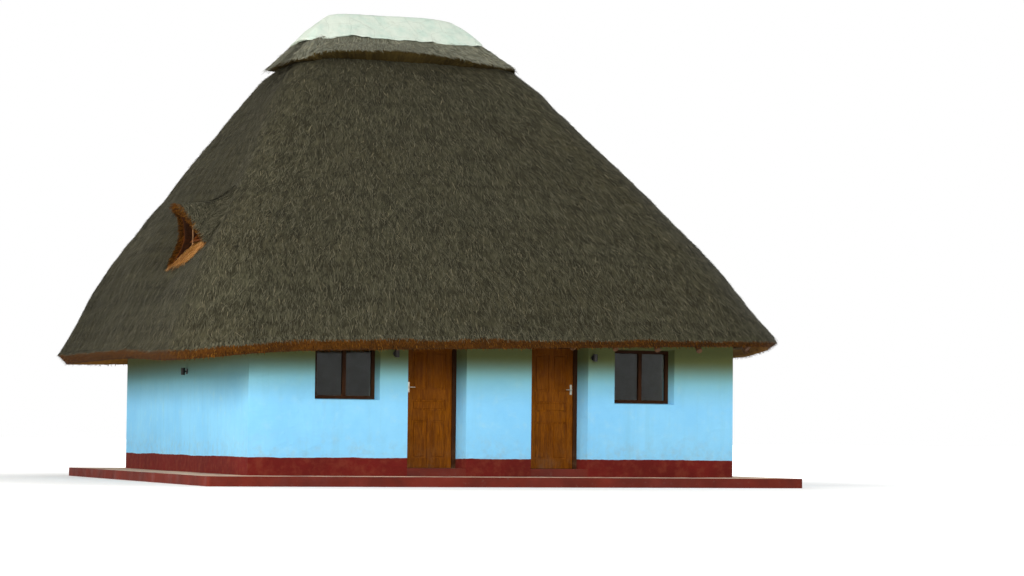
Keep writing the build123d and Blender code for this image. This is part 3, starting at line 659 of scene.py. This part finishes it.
def scatter(count, seed):
    """Random places on the coat's outer face, with the way down the slope and the normal."""
    rng = np.random.default_rng(seed)
    stack = np.array(grid)
    rings = np.linalg.norm(np.roll(stack, -1, axis=1) - stack, axis=2).sum(axis=1)
    r = rng.uniform(0.0, 1.0, 3 * count) * (slope_rows - 2)
    keep_it = rng.uniform(0, rings.max(), 3 * count) < np.interp(r, np.arange(slope_rows), rings)
    r = r[keep_it][:count]
    places, down, cell = between_rings(stack, r, random_columns(rng, stack[-1], len(r)))
    in_vent = inside_outline(places[:, 1], places[:, 2], [vent_front, vent_apex, vent_back])
    clear = ~((places[:, 0] < left_part) & in_vent)
    return places[clear], down[clear], np.array(normals)[cell][clear]


for index in range(3):
    starts, along, up = scatter(72000, 11 + index)
    loose = straw_blades(f"loose_grass_{index + 1}", starts + up * 0.004, along, up, 0.11, 0.008,
                         0.32, 0.02, 31 + index, grey_blades)
    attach(loose, "root")

# Ragged ends along the eave, dark on top and orange-brown below where the cut is fresh
edge_ring = grid[-1]
inner_edge = rows[slope_rows + cut_rows - 1]


def fringe(name, count, depth_low, depth_high, size, lift, material, seed):
    """Blade ends that hang from the cut band."""
    rng = np.random.default_rng(seed)
    c = random_columns(rng, edge_ring, count)
    depth = rng.uniform(depth_low, depth_high, count)
    starts, _, cell = between_rings(np.array([edge_ring, inner_edge]), depth, c)
    out = outer_normals[-1][cell[1]]
    along = np.column_stack([out * cos(lean), np.full(count, -sin(lean))])
    piece = straw_blades(name, starts - along * 0.08, along, up_the_slope(out), size, 0.012, 0.16,
                         lift, seed + 1, material)
    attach(piece, "root")


fringe("eave_ends_top", 16000, 0.0, 0.03, 0.085, 0.012, grey_blades, 91)
fringe("eave_ends_cut", 34000, 0.1, 1.0, 0.09, 0.0, straw_tips, 95)


# Vent hood and its stick. The hood is the same thatch, laid over two short poles and turned up
# into a gablet over a small three-sided air hole in the left slope. Its mouth shows fresh
# straw, which also lies on the slope below the hole, and a thin stick props it open. The
# straw below the hole is painted pale as sunlight on it, and inside the hood it is painted
# darker as shade.
coat_tree = BVHTree.FromPolygons([tuple(v.co) for v in coat.data.vertices],
                                 [tuple(f.vertices) for f in coat.data.polygons])


def slope_x(y, z):
    """Where the left slope's outer face lies at a place seen from the left."""
    hit = coat_tree.ray_cast(Vector((-9, y, z)), Vector((1, 0, 0)))[0]
    if hit is None or hit.x > left_part:
        return eave_left + (z - eave_height) / tan(pitch["left"])
    return hit.x


def hood_line(share, scale=1.0):
    """Place on the hood's outline from the front foot (-1) over the apex (0) to the back foot (1)."""
    foot = vent_front if share < 0 else vent_back
    reach = abs(share)
    # 0 at the apex and 1 at the foot, rounded off at the apex
    drop = (((reach * reach + 0.016) ** 0.5) - 0.126) / 0.882
    y = vent_apex[0] + (foot[0] - vent_apex[0]) * reach
    z = vent_apex[1] + (foot[1] - vent_apex[1]) * drop
    middle = (vent_front[0] + vent_back[0]) / 2, (vent_front[1] + vent_back[1]) / 2
    return middle[0] + (y - middle[0]) * scale, middle[1] + (z - middle[1]) * scale


shares = np.linspace(-1, 1, 49)
hood_depth, hood_lap = 0.86, 0.34
outside_rows, inside_rows = 15, 10
outer, inner = [], []
for share in shares:
    y, z = hood_line(share)
    rest = slope_x(y, z)
    far = slope_x(y, z + hood_lap) - 0.005
    stand = (1 - abs(share)) ** (1.08 if share < 0 else 1.31)
    mouth_x = rest - 0.02 - hood_depth * stand
    line = []
    for step in np.linspace(0, 1, outside_rows):
        a, b, c = (1 - step) ** 2, 2 * step * (1 - step), step ** 2
        line.append((a * mouth_x + b * (rest - 0.02) + c * far, y, a * z + b * z + c * (z + hood_lap)))
    outer.append(line[::-1])
    y, z = hood_line(share, 0.83)
    rest = slope_x(y, z)
    start = min(mouth_x + 0.02, rest - 0.01)
    inner.append([(start + (rest + 0.06 - start) * step, y, z)
                  for step in np.linspace(0, 1, inside_rows)])
hood_rows = [np.array([line[r] for line in outer]) for r in range(outside_rows)]
for r, row in enumerate(hood_rows):
    row[:, 2] += (0.02 * lumps(row, 4.0, 7.7) + 0.01 * lumps(row, 13.0, 3.1)) * min(1, r / 6)
lip = (hood_rows[-1] + np.array([line[0] for line in inner])) / 2
lip[:, 0] -= 0.025
hood_rows.append(lip)
hood_rows += [np.array([line[r] for line in inner]) for r in range(inside_rows)]
lengths = list(np.cumsum([0] + [0.07] * (len(hood_rows) - 1)))
hood_straw = thatch_finish("hood_straw", paint(150, 84, 18), paint(122, 62, 10), paint(52, 24, 4), 0.02)
# A darker copy of the hood's straw for its inside, as painted shade
shaded_hood_straw = thatch_finish("shaded_hood_straw", paint(92, 46, 8), paint(68, 34, 6), paint(26, 13, 3), 0.02)
hood = skin_mesh("vent_gablet", hood_rows, lengths, [grey_thatch, hood_straw, shaded_hood_straw],
                 [0] * (outside_rows - 1) + [1, 1] + [2] * (inside_rows - 1), close=False)
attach(hood, "root")
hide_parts("vent_hood")

# Fresh straw on the slope inside the mouth, round the air hole, made pale with painted sunlight
sill_rows = []
sill_levels, sill_columns = 22, 60
for level in np.linspace(-0.12, 1, sill_levels):
    row = []
    for share in np.linspace(-0.97, 0.97, sill_columns):
        y, top = hood_line(share, 0.98)
        base = np.interp(y, (vent_front[0], vent_back[0]), (vent_front[1], vent_back[1]))
        z = base + (top - base) * level - 0.03 * noise.noise(Vector((y * 9, level, 2.2)))
        row.append((slope_x(y, z) - 0.022, y, z))
    sill_rows.append(np.array(row))
# The sill straw's pale colours are partly painted sunlight
fresh_and_sunlit_straw = thatch_finish("fresh_and_sunlit_straw", paint(222, 170, 88), paint(196, 138, 58),
                            paint(112, 66, 18), 0.025)
sill = skin_mesh("vent_sill", sill_rows, np.linspace(0, 1, sill_levels), [fresh_and_sunlit_straw],
                 [0] * (sill_levels - 1), close=False, hole=in_air_hole)
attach(sill, "root")

# Straw rolled round the air hole's edge and down through the coat
roll_rows = []
side_steps = 12
beside_vent = -0.9
for scale, depth in ((1.3, -0.03), (1.15, -0.05), (1.0, -0.045), (0.92, 0.02), (0.92, 0.27), (1.4, 0.275)):
    ring = []
    for step in range(3 * side_steps):
        corner, part = divmod(step / side_steps, 1)
        first, last = hole_outline[int(corner)], hole_outline[(int(corner) + 1) % 3]
        y = hole_y + (first[0] + (last[0] - first[0]) * part - hole_y) * scale
        z = hole_z + (first[1] + (last[1] - first[1]) * part - hole_z) * scale
        uneven = 0.008 * noise.noise(Vector((y * 20, z * 20, 1)))
        ring.append((slope_x(beside_vent, z) + depth + uneven, y, z))
    roll_rows.append(np.array(ring))
roll = skin_mesh("vent_hole_roll", roll_rows, [0, 0.05, 0.1, 0.2, 0.45, 0.5], [hood_straw], [0] * 5)
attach(roll, "root")


def hood_blades(name, rows, count, size, heading, lift, seed, material):
    """Loose blades that start on some rows of the hood's skin."""
    rng = np.random.default_rng(seed)
    stack = np.array(rows)
    r = rng.uniform(0, len(rows) - 1.01, count)
    starts, _, (r0, c0) = between_rings(stack, r, rng.uniform(0.5, len(shares) - 1.5, count))
    across = stack[r0, c0 + 1] - stack[r0, c0]
    across /= np.linalg.norm(across, axis=1)[:, None] + 1e-9
    along = np.array(heading[:3], dtype=float) + across * (np.sign(shares[c0]) * heading[3])[:, None]
    up = np.cross(np.array([-1.0, 0, -0.3]), across)
    up /= np.linalg.norm(up, axis=1)[:, None] + 1e-9
    up *= np.sign(up[:, 2:3] + 1e-6)
    piece = straw_blades(name, starts + up * 0.004, along, up, size, 0.010, 0.3, lift, seed + 1, material)
    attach(piece, "root")


hood_blades("hood_grass", hood_rows[:outside_rows], 12000, 0.11, (-0.45, 0, -0.2, 0.9), 0.02, 61,
            grey_blades)
hood_blades("hood_ends", hood_rows[outside_rows - 1:outside_rows + 2], 2600, 0.06,
            (-0.8, 0, -0.3, 0.3), 0.01, 65, straw_tips)
# Loose straws on the sill, also painted pale as if sunlit
fresh_and_sunlit_blades = blade_finish("fresh_and_sunlit_blades", [(0.0, paint(120, 70, 24)), (0.4, paint(186, 124, 56)),
                                             (0.8, paint(218, 160, 90)), (1.0, paint(240, 200, 140))])
sill_rng = np.random.default_rng(70)
straws = 2600
straw_row = sill_rng.integers(0, sill_levels - 1, straws)
straw_column = sill_rng.integers(0, sill_columns - 1, straws)
starts = np.array(sill_rows)[straw_row, straw_column]
starts = starts + sill_rng.uniform(-0.02, 0.02, (straws, 3)) * (0, 1, 1)
starts = starts[~inside_outline(starts[:, 1], starts[:, 2], hole_outline)]
down = np.tile([-cos(pitch["left"]), 0, -sin(pitch["left"])], (len(starts), 1))
facing = np.tile([-sin(pitch["left"]), 0, cos(pitch["left"])], (len(starts), 1))
loose_straw = straw_blades("sill_straw", starts + facing * 0.004, down, facing, 0.1, 0.012,
                           0.3, 0.03, 71, fresh_and_sunlit_blades)
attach(loose_straw, "root")

# The stick stands on the straw and ends under the hood
prop_wood = timber("prop_stick", (9, 9, 2), paint(170, 124, 76), paint(104, 70, 40), 0.8, 0.002)
stick_y, stick_foot, stick_radius = -1.72, 4.0, 0.012
stick_x = slope_x(beside_vent, 4.10) - 0.08
stick_steps = 12
stick_rows = []
for level in np.linspace(stick_foot, hood_line(0, 0.83)[1] + 0.05, stick_steps):
    x = stick_x + 0.012 * noise.noise(Vector((level * 3, 1, 1)))
    stick_rows.append(np.array([(x + stick_radius * cos(a), stick_y + stick_radius * sin(a), level)
                                for a in np.linspace(0, 2 * pi, 13)[:-1]]))
stick = skin_mesh("prop_stick", stick_rows, np.linspace(0, 0.7, stick_steps), [prop_wood],
                  [0] * (stick_steps - 1))
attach(stick, "root")
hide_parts("vent_stick")


# Thatch collar. A second, newer coat is laid round the ridge and cut off in a ragged skirt,
# paler than the roof because it has weathered for less time.
collar_foot, collar_thickness, collar_radius = 7.47, 0.16, 0.3
collar_ridge = ridge_height + collar_thickness / cos(pitch["front"])
collar_cells = (120, 8, 80, 8)
collar_swell = 0.13
ridge_middle = -0.43
collar_rows, collar_normals, lengths, slots = [], [], [], []


front_arch, back_arch = 0.19, 0.06


def collar_arch(points):
    """How far the cut edge climbs: most left of the middle in front, less at the back."""
    along = np.clip((points[:, 0] + 2.5) / 4.0, 0, 1)
    return (front_arch * np.sin(pi * along ** 0.8) * np.clip(-points[:, 1] * 2, 0, 1)
            + back_arch * np.sin(pi * along) * np.clip(points[:, 1], 0, 1) - 0.05 * (along < 0.05))


def draw_in(points, share):
    """Round off the ridge's two ends, most at the top."""
    ends = np.clip(np.abs(points[:, 0] - ridge_middle) / 1.4, 0, 1)
    points[:, 0] -= np.where(points[:, 0] > ridge_middle, 0.3, -0.13) * ends * (1 - share) ** 1.3
    points[:, 2] -= 0.06 * ends ** 5 * (1 - share)


def ridge_seam(rows):
    """Row that closes a skin along the ridge."""
    seam = rows[0].copy()
    seam[:, 1] = ridge_y
    seam[:, 0] = -0.5 + (seam[:, 0] + 0.5) * 0.97
    seam[:, 2] += 0.006
    return [seam]


steps = 18
for row in range(steps):
    share = row / (steps - 1)
    level = collar_ridge - 0.06 + (collar_foot - collar_ridge + 0.06) * share
    ring, outward = roof_ring(level, -collar_thickness - collar_swell * share,
                              0.02 + (collar_radius - 0.02) * share, collar_cells)
    normal = up_the_slope(outward)
    ring = ring + normal * (0.02 * lumps(ring, 1.2, 8.8) + 0.01 * lumps(ring, (9, 9, 3), 14.2))[:, None]
    ring[:, 0] -= 0.07 * share * (ring[:, 0] < -1.9)
    ring[:, 0] -= 0.15 * share * np.clip((ring[:, 0] - 0.8) / 0.4, 0, 1)
    draw_in(ring, share)
    collar_rows.append(ring)
    collar_normals.append(normal)
    lengths.append((collar_ridge - level) / sin(lean))
    slots.append(0)
ragged = (collar_arch(collar_rows[-1]) + 0.03 * lumps(collar_rows[-1], 2.1, 6.6)
          + 0.016 * lumps(collar_rows[-1], 8.0, 4.4))
for back in range(7):
    collar_rows[-1 - back][:, 2] += ragged * (1 - back / 7)
slots[-1] = 1
for share in (0.35, 0.7, 1.0):
    depth = -(collar_thickness + collar_swell) * (1 - share) + 0.04 * share
    ring = roof_ring(collar_foot - 0.10 * share, depth, collar_radius, collar_cells)[0]
    ring[:, 2] += ragged * (1 - share * 0.6)
    collar_rows.append(ring)
    lengths.append(lengths[-1] + 0.06)
    slots.append(1)
pale_thatch = thatch_finish("collar_thatch", paint(122, 116, 92), paint(140, 141, 124),
                            paint(72, 70, 54), 0.025)
collar_cut = thatch_finish("collar_cut", paint(94, 76, 26), paint(82, 68, 32), paint(40, 30, 8), 0.02)
collar = skin_mesh("thatch_skirt", ridge_seam(collar_rows) + collar_rows, [0] + lengths,
                   [pale_thatch, collar_cut], [0] + slots)
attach(collar, "root")
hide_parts("thatch_collar")


def skirt_blades(name, rows, normals, count, low, high, size, spread, lift, seed, material):
    """Loose blades on a short skirt."""
    rng = np.random.default_rng(seed)
    r = rng.uniform(low, high, count) * (len(rows) - 1.01)
    starts, down, cell = between_rings(np.array(rows), r, random_columns(rng, rows[-1], count))
    up = np.array(normals)[cell]
    piece = straw_blades(name, starts, down, up, size, 0.012, spread, lift, seed + 1, material)
    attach(piece, "root")


pale_blades = blade_finish("pale_blades", [(0.0, paint(74, 71, 54)), (0.35, paint(120, 121, 104)),
                                           (0.75, paint(150, 151, 134)), (1.0, paint(180, 174, 146))])
skirt_blades("collar_grass", collar_rows[:steps], collar_normals, 16000, 0.3, 0.99,
             0.11, 0.25, 0.015, 51, pale_blades)
brown_tips = blade_finish("brown_tips", [(0.0, paint(36, 28, 8)), (0.4, paint(72, 58, 20)),
                                         (0.8, paint(96, 80, 36)), (1.0, paint(128, 112, 64))])
skirt_blades("collar_ends", collar_rows[steps - 1:], [collar_normals[-1]] * 4, 9000, 0.05, 0.95,
             0.07, 0.25, 0.0, 57, brown_tips)


# Ridge cap. Cement mortar is trowelled over the top of the collar to keep rain out of the
# ridge; it has gone pale and slightly green, with hairline cracks and a broken lower edge.
cap_thickness = 0.045
cap_depth = -(collar_thickness + cap_thickness)
cap_ridge = ridge_height - cap_depth / cos(pitch["front"])
cap_foot = 7.92
cap_rows, lengths, slots = [], [], []
cap_cells = (140, 10, 50, 10)
steps = 16
for row in range(steps):
    share = row / (steps - 1)
    level = cap_ridge - 0.05 + (cap_foot - cap_ridge + 0.05) * share
    ring, outward = roof_ring(level, cap_depth - 0.055 * share, 0.03 + 0.13 * share, cap_cells)
    draw_in(ring, share * 0.85)
    ring[:, 0] -= 0.26 * share ** 2 * np.clip((ring[:, 0] - 0.2) / 0.8, 0, 1)
    ring[:, 0] -= 0.07 * share * (ring[:, 0] < -1.6)
    normal = up_the_slope(outward)
    swell = 0.02 * lumps(ring, 1.6, 2.8) + 0.006 * lumps(ring, 9, 14.2)
    ring = ring + normal * np.clip(swell, -0.03, 0.03)[:, None]
    cap_rows.append(ring)
    lengths.append((cap_ridge - level) / sin(lean))
    slots.append(0)
broken = (0.035 * lumps(cap_rows[-1], 1.4, 7.6) + 0.035 * lumps(cap_rows[-1], 4.0, 3.4)
          + 0.012 * lumps(cap_rows[-1], 15.0, 5.1) + 0.02 * np.clip((cap_rows[-1][:, 0] - 0.6) / 0.4, 0, 1)
          - 0.07 * np.clip((-1.8 - cap_rows[-1][:, 0]) / 0.2, 0, 1))
for back in range(6):
    cap_rows[-1 - back][:, 2] += broken * (1 - back / 6)
ring = cap_rows[-1].copy()
ring[:, :2] += (np.array([-0.4, ridge_y]) - ring[:, :2]) * 0.06
cap_rows.append(ring)
lengths.append(lengths[-1] + 0.05)
slots.append(0)

cap_cement, tree, shader = start_material("cap_cement")
place = own_place(tree)
lichen = patches(tree, place, 3.0, 0.4, 0.7)
stain = patches(tree, place, 11.0, 0.5, 0.75)
cracks = put(tree, "ShaderNodeTexVoronoi", {"Vector": place, "Scale": 2.2}, feature="DISTANCE_TO_EDGE")
crack = fade(tree, cracks.outputs["Distance"], 0.0, 0.012)
colour = mix(tree, lichen, paint(216, 226, 212), paint(196, 216, 202))
colour = wear(tree, colour, stain, 0.3, paint(176, 184, 164))
colour = wear(tree, colour, sums(tree, "SUBTRACT", 1.0, crack), 0.35, paint(160, 166, 152))
tree.links.new(colour, shader.inputs["Base Color"])
shader.inputs["Roughness"].default_value = 0.85
grit = speckle(tree, place, 40.0, 6.0)
height = sums(tree, "ADD", grit, sums(tree, "MULTIPLY", crack, 0.6))
emboss(tree, shader, height, 0.5, 0.01)
cap = skin_mesh("cement_cap", ridge_seam(cap_rows) + cap_rows, [0] + lengths, [cap_cement], [0] + slots)
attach(cap, "root")
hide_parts("ridge_cap")


# Wall lamps. They are small bulkhead lamps of pressed metal with a black powder coat, screwed
# to the plaster beside the doors and on the side wall, and a little dusty.
black_metal, tree, shader = start_material("black_metal")
place = own_place(tree)
dusty = patches(tree, place, 20.0, 0.4, 0.7)
tree.links.new(mix(tree, dusty, paint(22, 22, 22), paint(52, 48, 42)), shader.inputs["Base Color"])
tree.links.new(fade(tree, dusty, 0.0, 1.0, 0.35, 0.7), shader.inputs["Roughness"])
for name in ("wall_lamp_left", "wall_lamp_right", "wall_lamp_side"):
    seat(name, black_metal)


# Studio. A wide pale floor, soft overhead and side light, and the camera where the photograph
# was taken from, low and to the left of the front.
reach = 400
floor_mesh = bpy.data.meshes.new("studio_floor")
floor_mesh.from_pydata([(-reach, -reach, 0), (reach, -reach, 0), (reach, reach, 0), (-reach, reach, 0)],
                       [], [(0, 1, 2, 3)])
floor = add_object("studio_floor", floor_mesh)
floor_paint, tree, shader = start_material("floor_paint")
place = own_place(tree)
cloud = speckle(tree, place, 0.4, 2.0)
tree.links.new(ramp(tree, cloud, [(0.3, (0.88, 0.88, 0.87, 1)), (0.7, (0.92, 0.92, 0.91, 1))]),
               shader.inputs["Base Color"])
shader.inputs["Roughness"].default_value = 0.9
from_hut = put(tree, "ShaderNodeVectorMath", {0: place}, operation="LENGTH").outputs["Value"]
beyond = soft_fade(tree, from_hut, 7.0, 16.0, 0.1, 1.0)
camera_ray = put(tree, "ShaderNodeLightPath").outputs["Is Camera Ray"]
shader.inputs["Emission Color"].default_value = (1, 1, 1, 1)
tree.links.new(sums(tree, "MULTIPLY", beyond, camera_ray), shader.inputs["Emission Strength"])
floor_mesh.materials.append(floor_paint)

world = bpy.data.worlds.new("studio")
bpy.context.scene.world = world
world.use_nodes = True
tree = world.node_tree
sky = tree.nodes["Background"]
sky.inputs["Color"].default_value = (1, 1, 1, 1)
rays = put(tree, "ShaderNodeLightPath").outputs
mirrored = sums(tree, "MAXIMUM", rays["Is Glossy Ray"], rays["Is Transmission Ray"])
seen = sums(tree, "MAXIMUM", rays["Is Camera Ray"], mirrored)
tree.links.new(fade(tree, seen, 0.0, 1.0, 0.45, 1.0), sky.inputs["Strength"])


def lamp(name, place, aim, size, power, colour=(1, 1, 1)):
    """Soft square light that points at a place."""
    data = bpy.data.lights.new(name, "AREA")
    data.size = size
    data.energy = power
    data.color = colour
    light = add_object(name, data)
    light.location = place
    light.rotation_euler = (Vector(aim) - Vector(place)).to_track_quat("-Z", "Y").to_euler()


lamp("key_light", (-30, -16, 13), (0, 0, 2), 12, 8200, (1, 0.97, 0.92))
lamp("front_fill", (-5, -44, 17), (0, 0, 2), 15, 6600, (0.96, 0.98, 1))
lamp("right_fill", (26, 4, 13), (0, 0, 3), 14, 3000)

photo_width, focal_length = 1024, 2700
camera_place = (-16.147, -46.026, 0.796)
turn, tilt, roll = radians(-21.358), radians(90 + 3.187), radians(0.584)
camera_data = bpy.data.cameras.new("camera")
camera_data.sensor_width = 36
camera_data.lens = focal_length * camera_data.sensor_width / photo_width
camera_data.clip_end = 2000
camera = add_object("camera", camera_data)
camera.matrix_world = (Matrix.Translation(camera_place) @ Matrix.Rotation(turn, 4, "Z")
                       @ Matrix.Rotation(tilt, 4, "X") @ Matrix.Rotation(roll, 4, "Z"))
bpy.context.scene.camera = camera
bpy.context.scene.view_settings.view_transform = "Standard"
